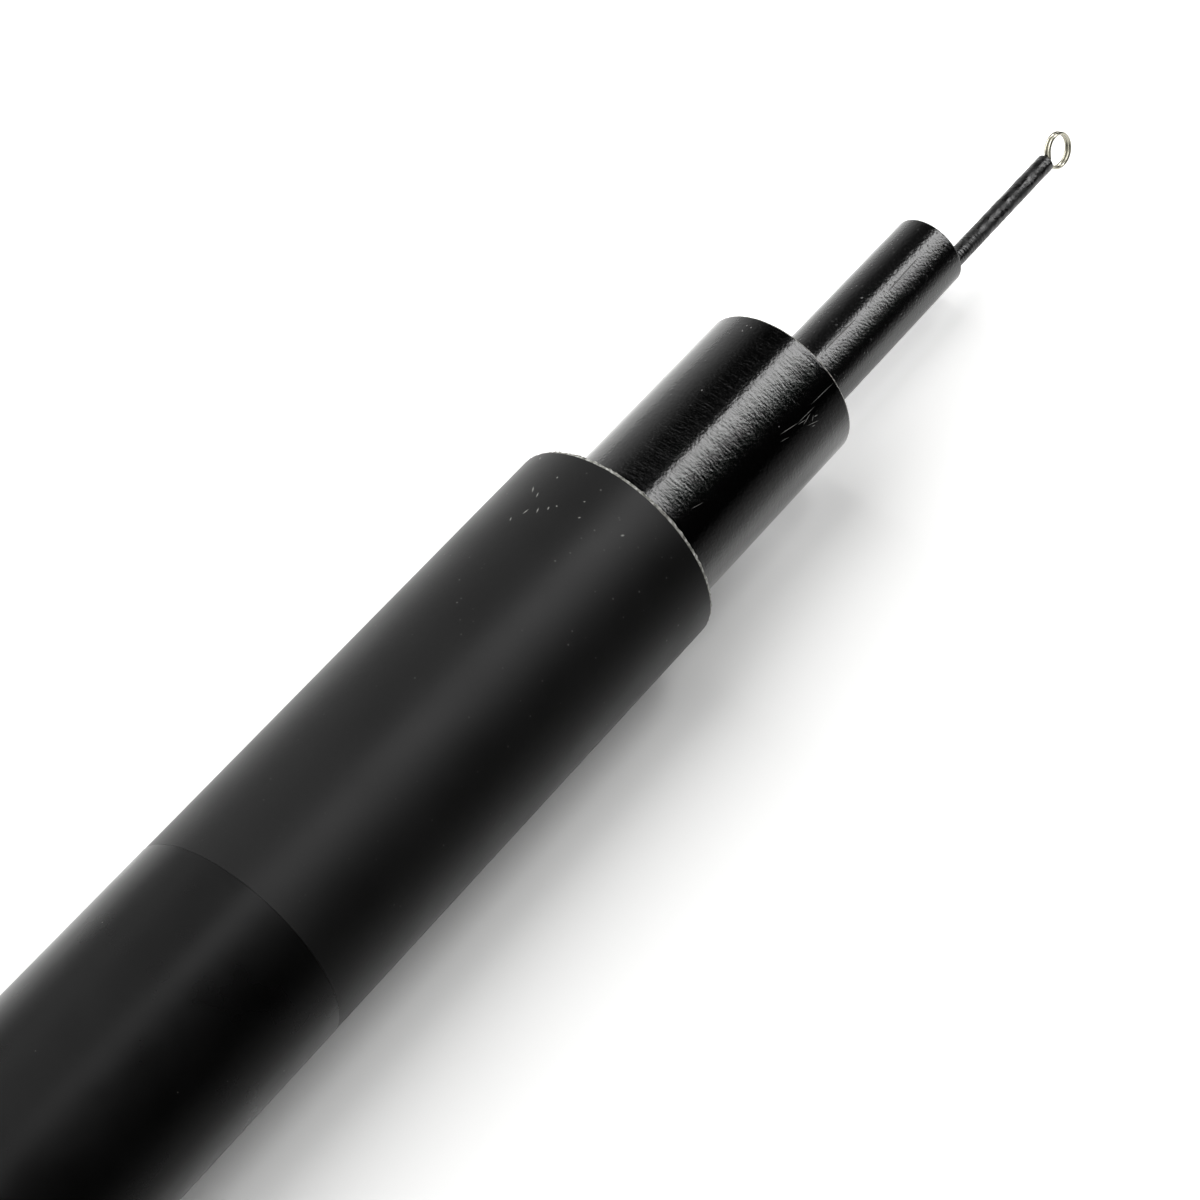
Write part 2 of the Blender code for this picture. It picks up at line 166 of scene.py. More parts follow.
# %% [markdown]
# The rod lies on white paper. The paper is a little brighter to the camera, so that it runs out to white,
# but it still takes the rod's shadow. What the glossy tubes mirror of it is a painted reflection, which
# fades in front of the rod, where the sheet ended and the dark room began. The plane itself runs on for
# 60 m, so that no view shows its end.

# %% White paper under the rod
PAPER_SIZE = 60
PAPER_TONE = 0.72
bpy.ops.object.select_all(action="DESELECT")
bpy.ops.mesh.primitive_plane_add(size=PAPER_SIZE, location=(0, 0, 0))
floor = bpy.context.object
floor.name = "floor"
paper = bpy.data.materials.new("white_paper")
paper.use_nodes = True
tree = paper.node_tree
tree.nodes.clear()
paths = add(tree, "LightPath")
along, beside = add(tree, "SeparateXYZ", {0: add(tree, "TexCoord").outputs["Object"]}).outputs[:2]

# What the tubes mirror of the sheet: place beside the rod in metres, brightness
SHEET = ((-0.13, 0.06), (-0.05, 0.20), (-0.027, 0.42), (-0.016, 1.0))
near, far = SHEET[0][0], SHEET[-1][0]
# Painted reflection: glossy rays see the paper at the brightness of this ramp, not at its own tone
mirrored = add(tree, "MapRange", {"Value": beside, "From Min": near, "From Max": far})
mirrored = add(tree, "ValToRGB", {0: mirrored})
for i, (place, shade) in enumerate(SHEET):
    part = (place - near) / (far - near)
    stop = mirrored.color_ramp.elements[i] if i < 2 else mirrored.color_ramp.elements.new(part)
    stop.position = part
    stop.color = (shade, shade, shade, 1)
glossy = paths.outputs["Is Glossy Ray"]
level = add(tree, "Mix", {0: glossy, 2: PAPER_TONE, 3: mirrored}, data_type="FLOAT")
tone = add(tree, "Mix", {0: level, 6: "000000", 7: "F7F7F6"}, data_type="RGBA")

# The camera also sees a faint, even glow on it, and close beside the glossy sections a painted pool of
# light that stands for the light they throw back. Both ranges are in metres.
GLOW = 0.05
THROWN = 0.50
# Painted light: an emission that brightens the paper close beside the glossy sections, seen by the camera
# only
ahead = add(tree, "MapRange", {"Value": along, "From Min": 0.476, "From Max": 0.49})
close = add(tree, "MapRange", {"Value": beside, "From Min": -0.016, "From Max": -0.001})
close = add(tree, "Math", {0: close, 1: 2.0}, operation="POWER")
glow = add(tree, "Math", {0: ahead, 1: close}, operation="MULTIPLY")
glow = add(tree, "Math", {0: glow, 1: THROWN, 2: GLOW}, operation="MULTIPLY_ADD")
glow = add(tree, "Math", {0: glow, 1: paths.outputs["Is Camera Ray"]}, operation="MULTIPLY")
matt = add(tree, "BsdfDiffuse", {"Color": tone.outputs[2]})
bright = add(tree, "Emission", {"Color": "FFFFFF", "Strength": glow})
both = add(tree, "AddShader", {0: matt, 1: bright})
add(tree, "OutputMaterial", {"Surface": both})
floor.data.materials.append(paper)
print("paper: %d m across" % PAPER_SIZE)

# %% [markdown]
# ## The lay of the sections
#
# Each section is a cone that lies along the bottom of the bore round it, so its axis
# leans by its own taper. The CAD tubes have 40 flat sides, and a round tube that fits
# inside them has the radius to the middle of a flat. With that the turned tubes lie on
# the same lines and keep the same gaps as the CAD ones. From here on sizes are in
# millimetres, as on a workshop drawing, and only the finished mesh is in metres.


# %% Sections and their places
def inside_sides(radius, sides=40):
    """The round that fits inside a polygon whose corners lie at this radius."""
    return radius * math.cos(math.pi / sides)


class Section:
    """One tapered tube lying on a level line. Sizes are in millimetres."""

    def __init__(self, start, length, base, mouth, wall, line, sides=40):
        self.length = length
        self.base = inside_sides(base, sides)
        self.wall = inside_sides(wall, sides)
        self.taper = (self.base - inside_sides(mouth, sides)) / length
        lean = math.atan(self.taper)
        origin = Vector((start, 0, line + self.base * math.cos(lean)))
        self.matrix = Matrix.Translation(origin * MM) @ Matrix.Rotation(lean, 4, "Y")

    def radius(self, along):
        return self.base - self.taper * along

    def bore(self, along):
        return self.radius(along) - self.wall


TIP_THICK, TIP_THIN = 3.8399, 0.35
BUTT = Section(-538.11, 1010.0, base=14.8, mouth=12.5, wall=1.15, line=0.0)
TWO = Section(-523.71, 1023.9, base=11.418, mouth=9.3, wall=0.82, line=1.1965)
THREE = Section(-523.71, 1051.75, base=8.5241, mouth=4.32, wall=0.60, line=2.0639)
TIP = Section(-523.71, 1070.75, base=TIP_THICK, mouth=TIP_THIN, wall=0.65, line=2.7121, sides=32)
for name, section in (("butt", BUTT), ("two", TWO), ("three", THREE), ("tip", TIP)):
    print(f"{name}: {2 * section.base:.2f} to {2 * section.radius(section.length):.2f} mm over")

# %% [markdown]
# ## Turning a piece
#
# Nearly everything on a rod is round, so most pieces are made as on a lathe: half of the
# cross-section is drawn as a chain of points and spun round the X axis. The first point
# is a small plane merged into one vertex, and each extrusion adds the next one. A spin
# can turn a shape inside out, so its doubles are merged and its normals recalculated.
#
# Smooth shading blends the normals of a small rounded edge into the long face beside it,
# which bends its reflections. A ring close to each end of a long face holds that back.


# %% Chain of points and lathe
def chain(name, points):
    """A new object of vertices joined in a row. It stays in edit mode."""
    bpy.ops.object.select_all(action="DESELECT")
    bpy.ops.mesh.primitive_plane_add(size=MM, location=(0, 0, 0))
    piece = bpy.context.object
    piece.name = piece.data.name = name
    bpy.ops.object.mode_set(mode="EDIT")
    bpy.ops.mesh.select_all(action="SELECT")
    bpy.ops.mesh.merge(type="CENTER")
    bpy.ops.transform.translate(value=points[0] * MM)
    for here, there in zip(points, points[1:]):
        bpy.ops.mesh.extrude_vertices_move(TRANSFORM_OT_translate={"value": (there - here) * MM})
    return piece


def close_chain(piece):
    """Joins a chain's last vertex, which is still selected, to its first."""
    bpy.ops.object.mode_set(mode="OBJECT")
    piece.data.vertices[0].select = True
    bpy.ops.object.mode_set(mode="EDIT")
    bpy.ops.mesh.edge_face_add()


def pick(piece):
    """Makes a piece the only selected one, and the one that operators act on."""
    bpy.ops.object.select_all(action="DESELECT")
    piece.select_set(True)
    bpy.context.view_layer.objects.active = piece


SHARP = math.radians(30)


def clean(piece):
    """Merges doubles, turns all faces outwards and shades the soft edges smooth."""
    pick(piece)
    bpy.ops.object.mode_set(mode="EDIT")
    bpy.ops.mesh.select_all(action="SELECT")
    bpy.ops.mesh.remove_doubles(threshold=0.0005 * MM)
    bpy.ops.mesh.normals_make_consistent(inside=False)
    bpy.ops.object.mode_set(mode="OBJECT")
    bpy.ops.object.shade_smooth_by_angle(angle=SHARP)


HOLD = 0.15


def held(outline):
    """An outline's points, with one more close to each end of every long run."""
    points = [Vector((along, 0, radius)) for along, radius in outline]
    result = points[:1]
    for here, there in zip(points, points[1:]):
        run = there - here
        if run.length > 8 * HOLD:
            step = run.normalized() * HOLD
            result += [here + step, there - step]
        result.append(there)
    return result


def lathe(name, outline, sides=256, closed=True):
    """Spins an outline of (along, radius) points round X. An open one ends on the axis."""
    piece = chain(name, held(outline))
    if closed:
        close_chain(piece)
    bpy.ops.mesh.select_all(action="SELECT")
    bpy.ops.mesh.spin(steps=sides, angle=math.tau, center=(0, 0, 0), axis=(1, 0, 0))
    bpy.ops.object.mode_set(mode="OBJECT")
    clean(piece)
    return piece


# %% [markdown]
# Three kinds of run come back in the outlines: the outside of a tapered tube, its bore,
# and a rounded edge, which is an arc of a few points.


# %% Runs of an outline
def cone(section, start, end, side=0.0, steps=8):
    """Points along a section's outside, moved outwards by side."""
    stations = [start + (end - start) * i / steps for i in range(steps + 1)]
    return [(along, section.radius(along) + side) for along in stations]


def bore_back(section, start, steps=12):
    """Points along a section's bore, from a place back to its thick end."""
    stations = [start * (1 - i / steps) for i in range(steps + 1)]
    return [(along, section.bore(along)) for along in stations]


def arc(along, out, size, start, stop, steps=4):
    """A rounded edge about a centre. Its angles run from +X towards outwards."""
    turns = [math.radians(start + (stop - start) * i / steps) for i in range(steps + 1)]
    return [(along + size * math.cos(t), out + size * math.sin(t)) for t in turns]


# %% [markdown]
# A finished piece goes to its place in the frame with its transform applied, stands for its CAD node and
# rides on that node's body.
# Some pieces get more than one material, picked by where a face lies, and the sawn ends
# and the foam are roughened by nudging their vertices at random, always with one seed.


# %% Painting, roughening and placing
def paint(piece, material, where=None):
    """Gives the faces that where(centre in mm) picks the material, or all of them."""
    piece.data.materials.append(material)
    index = len(piece.data.materials) - 1
    for face in piece.data.polygons:
        if where is None or where(face.center / MM):
            face.material_index = index


def roughen(piece, amount, where, seed):
    """Nudges the vertices that where(place in mm) picks by up to an amount in mm."""
    bpy.ops.object.mode_set(mode="EDIT")
    bpy.ops.mesh.select_all(action="DESELECT")
    bpy.ops.object.mode_set(mode="OBJECT")
    for vertex in piece.data.vertices:
        vertex.select = where(vertex.co / MM)
    bpy.ops.object.mode_set(mode="EDIT")
    bpy.ops.transform.vertex_random(offset=amount * MM, seed=seed)
    bpy.ops.object.mode_set(mode="OBJECT")


def seat(piece, node, body, matrix):
    """Puts a piece in its place in the frame, instead of its CAD node."""
    pick(piece)
    piece.matrix_world = matrix
    bpy.ops.object.transform_apply(location=True, rotation=True, scale=True)
    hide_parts(node)
    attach(piece, body)
    print(f"{piece.name}: {len(piece.data.polygons)} faces, rides on {body}")


# %% [markdown]
# ## Patterns in the tubes' own measure
#
# Every material works in millimetres in its own piece's frame, with X along the axis: a
# Mapping node of the Texture type undoes the piece's place and turn, and a noise that is
# 0.35 mm across then simply has a scale of 1 / 0.35.
#
# Marks such as a scratch are drawn on the unrolled skin of a tube.
# A spherical gradient, squeezed to the length and the width of the mark, makes a stroke
# that thins out towards its ends, as a scratch does.
#
# Much of what roughens a real skin is finer than the picture's pixels, which cover about
# 0.1 mm of the rod. Such a pattern is drawn as coarse as it needs to show, and a comment
# beside it says so.


# %% Coordinates and marks
# Nearly all of a noise lies between these levels
NOISE_RANGE = {"From Min": 0.3, "From Max": 0.7}


def new_material(name, matrix):
    """A Principled material, its node tree and shader, and Object coordinates turned into
    millimetres in the piece's own frame."""
    material = bpy.data.materials.new(name)
    material.use_nodes = True
    tree = material.node_tree
    own = add(
        tree,
        "Mapping",
        {
            "Vector": add(tree, "TexCoord").outputs["Object"],
            "Location": matrix.to_translation(),
            "Rotation": matrix.to_euler(),
            "Scale": (MM, MM, MM),
        },
        vector_type="TEXTURE",
    )
    print("material:", name)
    return material, tree, tree.nodes["Principled BSDF"], own


def per_mm(*sizes):
    """The scale at which one unit of a pattern has these sizes in mm along X, Y and Z."""
    return [1 / size for size in sizes]


def marks(tree, own, section, strokes, hardness=0.35):
    """A mask of thin strokes on a tube: (from, to, width), each end as mm behind the mouth
    and degrees round from the top towards +Y."""
    out = section.radius(section.length)
    x, y, z = add(tree, "SeparateXYZ", {0: own}).outputs
    angle = add(tree, "Math", {0: y, 1: z}, operation="ARCTAN2")
    across = add(tree, "Math", {0: angle, 1: out}, operation="MULTIPLY")
    unrolled = add(tree, "CombineXYZ", {"X": x, "Y": across})
    mask = 0.0
    for *ends, width in strokes:
        start, stop = [Vector((section.length - b, out * math.radians(t), 0)) for b, t in ends]
        run = stop - start
        squeezed = add(
            tree,
            "Mapping",
            {
                "Vector": unrolled,
                "Location": (start + stop) / 2,
                "Rotation": (0, 0, math.atan2(run.y, run.x)),
                "Scale": (run.length / 2, width / 2, 1),
            },
            vector_type="TEXTURE",
        )
        stroke = add(tree, "TexGradient", {0: squeezed}, gradient_type="SPHERICAL")
        mask = add(tree, "Math", {0: mask, 1: stroke.outputs["Fac"]}, operation="MAXIMUM")
    print("marks on the tube:", len(strokes))
    return add(tree, "MapRange", {"Value": mask, "From Max": hardness})


# %% [markdown]
# ## The butt section
#
# The butt is rolled from carbon and glass cloth, ground round and sprayed with a matt
# black lacquer that feels soft. Its sheen is broad and even, with clouds where the coat
# lies a little thicker, and it shows what it went through: specks of dust and small rubbed
# marks gather near the mouth, where it is handled. At the mouth the tube was sawn off
# and left raw, so its edge shows pale glass fibre, uneven and a little frayed.

# %% Matt lacquer
# Dry-sprayed lacquer with a matting powder. The powder is a few hundredths of a mm across,
# so the grain is drawn coarser, at 0.35 mm.
matt_lacquer, tree, shader, own = new_material("matt_sprayed_lacquer", BUTT.matrix)
grain = add(tree, "TexNoise", {"Vector": own, "Scale": 1 / 0.35, "Detail": 3})
relief = add(tree, "Bump", {"Height": grain, "Distance": 0.006 * MM})
clouds = add(tree, "TexNoise", {"Vector": own, "Scale": 1 / 9, "Detail": 2})
gloss = add(tree, "MapRange", {"Value": clouds, **NOISE_RANGE, "To Min": 0.39, "To Max": 0.46})
feed(shader, {"Roughness": gloss, "Specular IOR Level": 0.22, "Normal": relief})

# %% Dust and rubbed marks on the lacquer
# Specks of dust: small balls, 0.28 mm across at most, that happen to cut the surface
cells = add(tree, "TexVoronoi", {"Vector": own, "Scale": 1 / 1.4})
specks = add(tree, "MapRange", {"Value": cells, "From Min": 0.1, "From Max": 0.02, "To Max": 0.24})
# They lie in patches, most of them in the last 50 mm, where hands take hold
HANDLED_FROM, HANDLED_TO = BUTT.length - 50, BUTT.length - 8
along = add(tree, "SeparateXYZ", {0: own}).outputs["X"]
handled = add(
    tree,
    "MapRange",
    {"Value": along, "From Min": HANDLED_FROM, "From Max": HANDLED_TO, "To Min": 0.2},
)
patches = add(tree, "TexNoise", {"Vector": own, "Scale": 1 / 5, "Detail": 3})
patches = add(tree, "MapRange", {"Value": patches, "From Min": 0.42, "From Max": 0.66})
handled = add(tree, "Math", {0: handled, 1: patches}, operation="MULTIPLY")
dust = add(tree, "Math", {0: specks, 1: handled}, operation="MULTIPLY")
BUTT_MARKS = [
    ((3.6, 18.6), (3.9, 18.0), 0.22),
    ((5.6, 26.2), (6.5, 23.4), 0.20),
    ((8.6, 17.2), (9.5, 17.9), 0.20),
    ((7.4, 9.5), (7.9, 8.6), 0.20),
    ((6.9, 6.8), (7.1, 6.2), 0.20),
    ((4.9, -2.8), (5.1, -2.0), 0.20),
    ((6.7, -6.6), (7.0, -5.6), 0.18),
    ((5.2, -27.0), (5.6, -25.8), 0.25),
    ((8.0, 13.4), (8.8, 12.0), 0.18),
    ((1.1, 41.5), (1.5, 40.4), 0.22),
    ((6.2, 20.5), (7.0, 19.0), 0.18),
    ((10.2, 22.0), (10.8, 20.6), 0.18),
]
rubbed = marks(tree, own, BUTT, BUTT_MARKS, hardness=1.6)
pale = add(tree, "Math", {0: dust, 1: rubbed}, operation="MAXIMUM")
tint = add(tree, "Mix", {0: pale, 6: "050505", 7: "9C9C98"}, data_type="RGBA")
feed(shader, {"Base Color": tint.outputs[2]})

# %% Sawn edge
# Sawn laminate: glass fibre and resin in thin layers, dull and pale, with dark pits. A
# glass fibre is a hundredth of a mm thick, so bundles of 0.45 mm stand for them.
cut_edge, tree, shader, own = new_material("sawn_glass_fibre_edge", BUTT.matrix)
fibres = add(tree, "TexNoise", {"Vector": own, "Scale": 1 / 0.45, "Detail": 5, "Roughness": 0.65})
shades = add(tree, "ValToRGB", {0: fibres})
for i, (part, code) in enumerate(((0.36, "34342F"), (0.52, "80807A"), (1.0, "FFFFFF"))):
    stop = shades.color_ramp.elements[i] if i < 2 else shades.color_ramp.elements.new(part)
    stop.position = part
    stop.color = colour(code)
relief = add(tree, "Bump", {"Height": fibres, "Distance": 0.12 * MM})
feed(shader, {"Base Color": shades, "Roughness": 0.72, "Normal": relief})

# %% Bore
# Smooth from the steel mandrel that the tube was rolled on, with faint rings where it was
# drawn out
bore_skin, tree, shader, own = new_material("mandrel_moulded_bore", BUTT.matrix)
rings = add(tree, "Mapping", {"Vector": own, "Scale": per_mm(0.5, 12, 12)})
rings = add(tree, "TexNoise", {"Vector": rings, "Scale": 1, "Detail": 2})
relief = add(tree, "Bump", {"Height": rings, "Distance": 0.01 * MM})
feed(shader, {"Base Color": "121211", "Roughness": 0.45, "Normal": relief})

# %% [markdown]
# The tube is one closed outline: along the outside, round the sawn edge and back through
# the bore. Its surface drops by 0.2 mm where the film lies. The sawn edge is a rounded
# chamfer, since a raw edge is always broken with a file before the rod leaves the bench.

# %% Butt section
FILM_START = 30.0
FILM_END = BUTT.length - 59.5
FILM_GAP = 0.02
# How far the lacquer lies off the CAD's outside, bare and under the film
SKIN, FILM_SEAT = -0.03, -0.20
EDGE = 0.50
# The sawn edge, in mm back from the tube's end and mm in from its outside
SAWN = ((0.40, 0.10), (0.30, 0.13), (0.20, 0.16), (0.10, 0.24), (0.0, 0.42), (0.0, 0.75))
end = BUTT.length
seat_from, seat_to = FILM_START - FILM_GAP, FILM_END + FILM_GAP
outline = [(0, BUTT.base - 0.30), (0.12, BUTT.base - 0.10)]
outline += cone(BUTT, 0.30, seat_from, SKIN, 2)
outline += cone(BUTT, seat_from, seat_to, FILM_SEAT, 16)
outline += cone(BUTT, seat_to, end - EDGE, SKIN, 6)
outline += [(end - back, BUTT.radius(end) - drop) for back, drop in SAWN]
outline += [(end, BUTT.bore(end) + 0.10), (end - 0.10, BUTT.bore(end))]
outline += bore_back(BUTT, end)[1:]
butt = lathe("butt_tube", outline, sides=320)
roughen(butt, 0.13, lambda p: p.x > end - EDGE + 0.06 and p.yz.length > BUTT.radius(end) - 0.6, seed=3)
paint(butt, matt_lacquer)
paint(butt, bore_skin, lambda c: math.hypot(c.y, c.z) < BUTT.bore(c.x) + 0.03)
paint(butt, cut_edge, lambda c: c.x > end - EDGE + 0.02 or c.x < 0.04)
seat(butt, "butt_section", "butt", BUTT.matrix)

# %% [markdown]
# ## The film
#
# A clear plastic sleeve is shrunk round most of the butt, and its edge shows as a fine
# ring. On black it isn't seen as such, but it changes the sheen: it is smoother than the
# lacquer, so the highlight is narrower and the rest darker, and it lies in faint waves
# where it shrank unevenly.

# %% Clear film
# Clear plastic over black lacquer looks black, so all it gives the eye is its sheen
clear_film, tree, shader, own = new_material("clear_shrunk_film", BUTT.matrix)
waves = add(tree, "Mapping", {"Vector": own, "Scale": per_mm(7, 3, 3)})
waves = add(tree, "TexNoise", {"Vector": waves, "Scale": 1, "Detail": 1})
relief = add(tree, "Bump", {"Height": waves, "Distance": 0.02 * MM})
haze = add(tree, "TexNoise", {"Vector": own, "Scale": 1 / 6, "Detail": 4})
gloss = add(tree, "MapRange", {"Value": haze, **NOISE_RANGE, "To Min": 0.26, "To Max": 0.33})
cells = add(tree, "TexVoronoi", {"Vector": own, "Scale": 1 / 3})
dust = add(tree, "MapRange", {"Value": cells, "From Min": 0.035, "From Max": 0.015, "To Max": 0.4})
tint = add(tree, "Mix", {0: dust, 6: "020202", 7: "7C7C78"}, data_type="RGBA")
feed(shader, {"Base Color": tint.outputs[2], "Roughness": gloss})
feed(shader, {"Specular IOR Level": 0.18, "Normal": relief})

# %% Film round the butt
outline = [(FILM_START, BUTT.radius(FILM_START) - 0.10)]
outline += cone(BUTT, FILM_START, FILM_END - 0.03, 0.0, 16)
outline += [(FILM_END, BUTT.radius(FILM_END) - 0.03), (FILM_END, BUTT.radius(FILM_END) - 0.10)]
film = lathe("butt_film_sleeve", outline)
paint(film, clear_film)
seat(film, "butt_film", "butt", BUTT.matrix)

# %% [markdown]
# ## The second and third sections
#
# These blanks are ground to size and coated with a clear gloss lacquer, through which the
# black carbon shows. Grinding leaves fine lines round the tube, and the lacquer only half
# fills them. They tilt the mirror by a degree or two, which combs the edge of the
# highlight. Each time the rod is closed, grit rubs a scratch or two along the tube.

# %% Gloss lacquer over grinding lines
# A thin clear coat over carbon that was ground with fine grit. The lines are really a few
# hundredths of a mm apart and are drawn coarser, at 0.24 mm.
gloss_lined, tree, shader, own = new_material("gloss_lacquer_over_ground_blank", TWO.matrix)
fine = add(tree, "Mapping", {"Vector": own, "Scale": per_mm(0.24, 1.6, 1.6)})
fine = add(tree, "TexNoise", {"Vector": fine, "Scale": 1, "Detail": 4, "Roughness": 0.6})
broad = add(tree, "Mapping", {"Vector": own, "Scale": per_mm(1.6, 9, 9)})
broad = add(tree, "TexNoise", {"Vector": broad, "Scale": 1, "Detail": 1})
lines = add(tree, "Math", {0: broad, 1: 1.5, 2: fine}, operation="MULTIPLY_ADD")
peel = add(tree, "TexNoise", {"Vector": own, "Scale": 1 / 0.35, "Detail": 2})
lines = add(tree, "Math", {0: peel, 1: 1.1, 2: lines}, operation="MULTIPLY_ADD")
relief = add(tree, "Bump", {"Height": lines, "Distance": 0.016 * MM})
cells = add(tree, "TexVoronoi", {"Vector": own, "Scale": 1 / 1.5})
pits = add(tree, "MapRange", {"Value": cells, "From Min": 0.08, "From Max": 0.03})
relief = add(tree, "Bump", {"Height": pits, "Distance": 0.010 * MM, "Normal": relief})

# %% Scratches on the second section
TWO_SCRATCHES = [
    ((0.2, -52.1), (4.4, -51.0), 0.09),
    ((3.8, -53.9), (6.9, -53.2), 0.10),
    ((6.6, -53.5), (9.6, -49.4), 0.11),
    ((4.8, -54.9), (6.4, -57.2), 0.15),
    ((5.6, -55.9), (7.0, -54.0), 0.12),
    ((4.6, -57.0), (5.2, -60.5), 0.11),
    ((4.2, -63.6), (6.1, -59.4), 0.11),
    ((4.1, -59.9), (4.7, -58.6), 0.15),
    ((5.0, -63.8), (5.5, -62.8), 0.15),
    ((8.6, -55.6), (10.0, -53.2), 0.06),
    ((21.6, -43.5), (23.4, -40.2), 0.04),
    ((2.1, 19.4), (2.4, 18.0), 0.20),
    ((1.3, 19.6), (1.5, 18.6), 0.20),
    ((1.4, 15.6), (1.6, 14.6), 0.20),
    ((11.3, 8.8), (11.6, 8.0), 0.20),
]
scratched = marks(tree, own, TWO, TWO_SCRATCHES, hardness=0.6)
tint = add(tree, "Mix", {0: scratched, 6: "010101", 7: "585856"}, data_type="RGBA")
gloss = add(tree, "MapRange", {"Value": scratched, "To Min": 0.12, "To Max": 0.5})
feed(shader, {"Base Color": tint.outputs[2], "Roughness": gloss, "Normal": relief})

# %% [markdown]
# The thinner blank has the same lacquer, but under it lies a finer grain in place of lines,
# which breaks the highlight into small grains of light.

# %% Gloss lacquer with orange peel
# The same clear coat, sprayed on drier. Its grain is drawn a little coarser than it is.
gloss_grained, tree, shader, own = new_material("gloss_lacquer_with_orange_peel", THREE.matrix)
peel = add(tree, "Mapping", {"Vector": own, "Scale": per_mm(0.24, 0.3, 0.3)})
peel = add(tree, "TexNoise", {"Vector": peel, "Scale": 1, "Detail": 3})
relief = add(tree, "Bump", {"Height": peel, "Distance": 0.030 * MM})
cells = add(tree, "TexVoronoi", {"Vector": own, "Scale": 1 / 0.7})
pits = add(tree, "MapRange", {"Value": cells, "From Min": 0.17, "From Max": 0.08})
relief = add(tree, "Bump", {"Height": pits, "Distance": 0.015 * MM, "Normal": relief})
THREE_SCRATCHES = [
    ((4.4, -22.0), (10.6, -23.9), 0.13),
    ((15.6, -17.5), (21.6, -16.2), 0.13),
    ((3.0, -40.8), (3.3, -40.0), 0.2),
    ((4.0, -43.2), (4.2, -42.4), 0.2),
    ((12.9, -3.4), (13.2, -2.2), 0.22),
]
scratched = marks(tree, own, THREE, THREE_SCRATCHES)
tint = add(tree, "Mix", {0: scratched, 6: "060606", 7: "3C3C3A"}, data_type="RGBA")
relief = add(tree, "Bump", {"Height": scratched, "Distance": 0.015 * MM, "Normal": relief}, invert=True)
gloss = add(tree, "MapRange", {"Value": scratched, "To Min": 0.15, "To Max": 0.4})
feed(shader, {"Base Color": tint.outputs[2], "Roughness": gloss, "Normal": relief})

# %% [markdown]
# Both tubes have the same outline, so one function turns them. The second section's rim
# is sawn and pale like the butt's, only finer. The third one's was broken before it was
# coated, so just its face is bare.


# %% Second and third sections
def drawn_tube(name, section, rim, bare, lacquer, seed):
    """A tube with its rim broken by rim mm, whose last bare mm show the sawn laminate."""
    end = section.length
    out, bore = section.radius(end), section.bore(end)
    outline = [(0, section.base - rim)]
    outline += cone(section, rim, end - rim, 0.0, 20)
    outline += [(end - 0.6 * rim, out - 0.16 * rim), (end - 0.25 * rim, out - 0.5 * rim)]
    outline += [(end, out - rim), (end, bore + 0.4 * rim), (end - 0.4 * rim, bore)]
    outline += bore_back(section, end)[1:]
    tube = lathe(name, outline)

    def on_rim(place):
        return place.x > end - 0.7 * rim and place.yz.length > section.radius(place.x) - 1.1 * rim

    roughen(tube, 0.1 * rim, on_rim, seed)
    paint(tube, lacquer)
    paint(tube, bore_skin, lambda c: math.hypot(c.y, c.z) < section.bore(c.x) + 0.02)
    paint(tube, cut_edge, lambda c: c.x > end - bare or c.x < 0.04)
    return tube


two = drawn_tube("second_section", TWO, 0.20, 0.19, gloss_lined, seed=5)
seat(two, "section_two", "second", TWO.matrix)
three = drawn_tube("third_section", THREE, 0.14, 0.03, gloss_grained, seed=7)
seat(three, "section_three", "third", THREE.matrix)

# %% [markdown]
# ## The tip
#
# The tip is a slim blank of its own, hollow at its thick end and solid from where the
# bore tapers out. It is left as it came from the grinder and only rubbed down, so the
# tape that was wound round it to press the layers together has left a faint spiral. The
# tip has a slight set, too: it is turned straight first, and then every vertex is moved
# aside by the square of its distance from the base.

# %% Ground blank
# Bare carbon and resin: dark and satin, with streaks where the cloth runs along the tip
ground_blank, tree, shader, own = new_material("ground_carbon_blank", TIP.matrix)
TAPE_PITCH = 2.0
x, y, z = add(tree, "SeparateXYZ", {0: own}).outputs
angle = add(tree, "Math", {0: y, 1: z}, operation="ARCTAN2")
winding = add(tree, "Math", {0: x, 1: math.tau / TAPE_PITCH, 2: angle}, operation="MULTIPLY_ADD")
spiral = add(tree, "Math", {0: winding}, operation="SINE")
relief = add(tree, "Bump", {"Height": spiral, "Distance": 0.012 * MM})
streaks = add(tree, "Mapping", {"Vector": own, "Scale": per_mm(12, 0.3, 0.3)})
streaks = add(tree, "TexNoise", {"Vector": streaks, "Scale": 1, "Detail": 3})
shades = add(tree, "Mix", {0: streaks, 6: "080808", 7: "202020"}, data_type="RGBA")
feed(shader, {"Base Color": shades.outputs[2], "Roughness": 0.34, "Normal": relief})

# %% Tip blank
BORE_END = 825.3
BOW = Vector((0, -2.4842, 2.2085))  # how far its end is set aside
end = TIP.length
outline = [(BORE_END, 0)] + bore_back(TIP, BORE_END, steps=24)
outline += [(0, TIP.base - 0.10), (0.10, TIP.radius(0.10))]
outline += cone(TIP, end / 60, end - 0.05, 0.0, 59)
outline += [(end, TIP.radius(end) - 0.05), (end, 0)]
blank = lathe("tip_blank_ground", outline, sides=48, closed=False)
for vertex in blank.data.vertices:
    vertex.co += BOW * MM * (vertex.co.x / (end * MM)) ** 2
paint(blank, ground_blank)
seat(blank, "tip_blank", "tip", TIP.matrix)
print("the tip is set aside by %.1f mm" % BOW.length)

# %% [markdown]
# ## The line eye
#
# The eye is one length of hard stainless wire: a leg along the blank, two turns of a ring
# side by side, and the other leg back on the blank's far side. The wire's middle line is
# a chain of points, which turns into a curve, gets its thickness, and turns back into a
# mesh. Everything on the tip's end is placed from one frame, which follows the set.

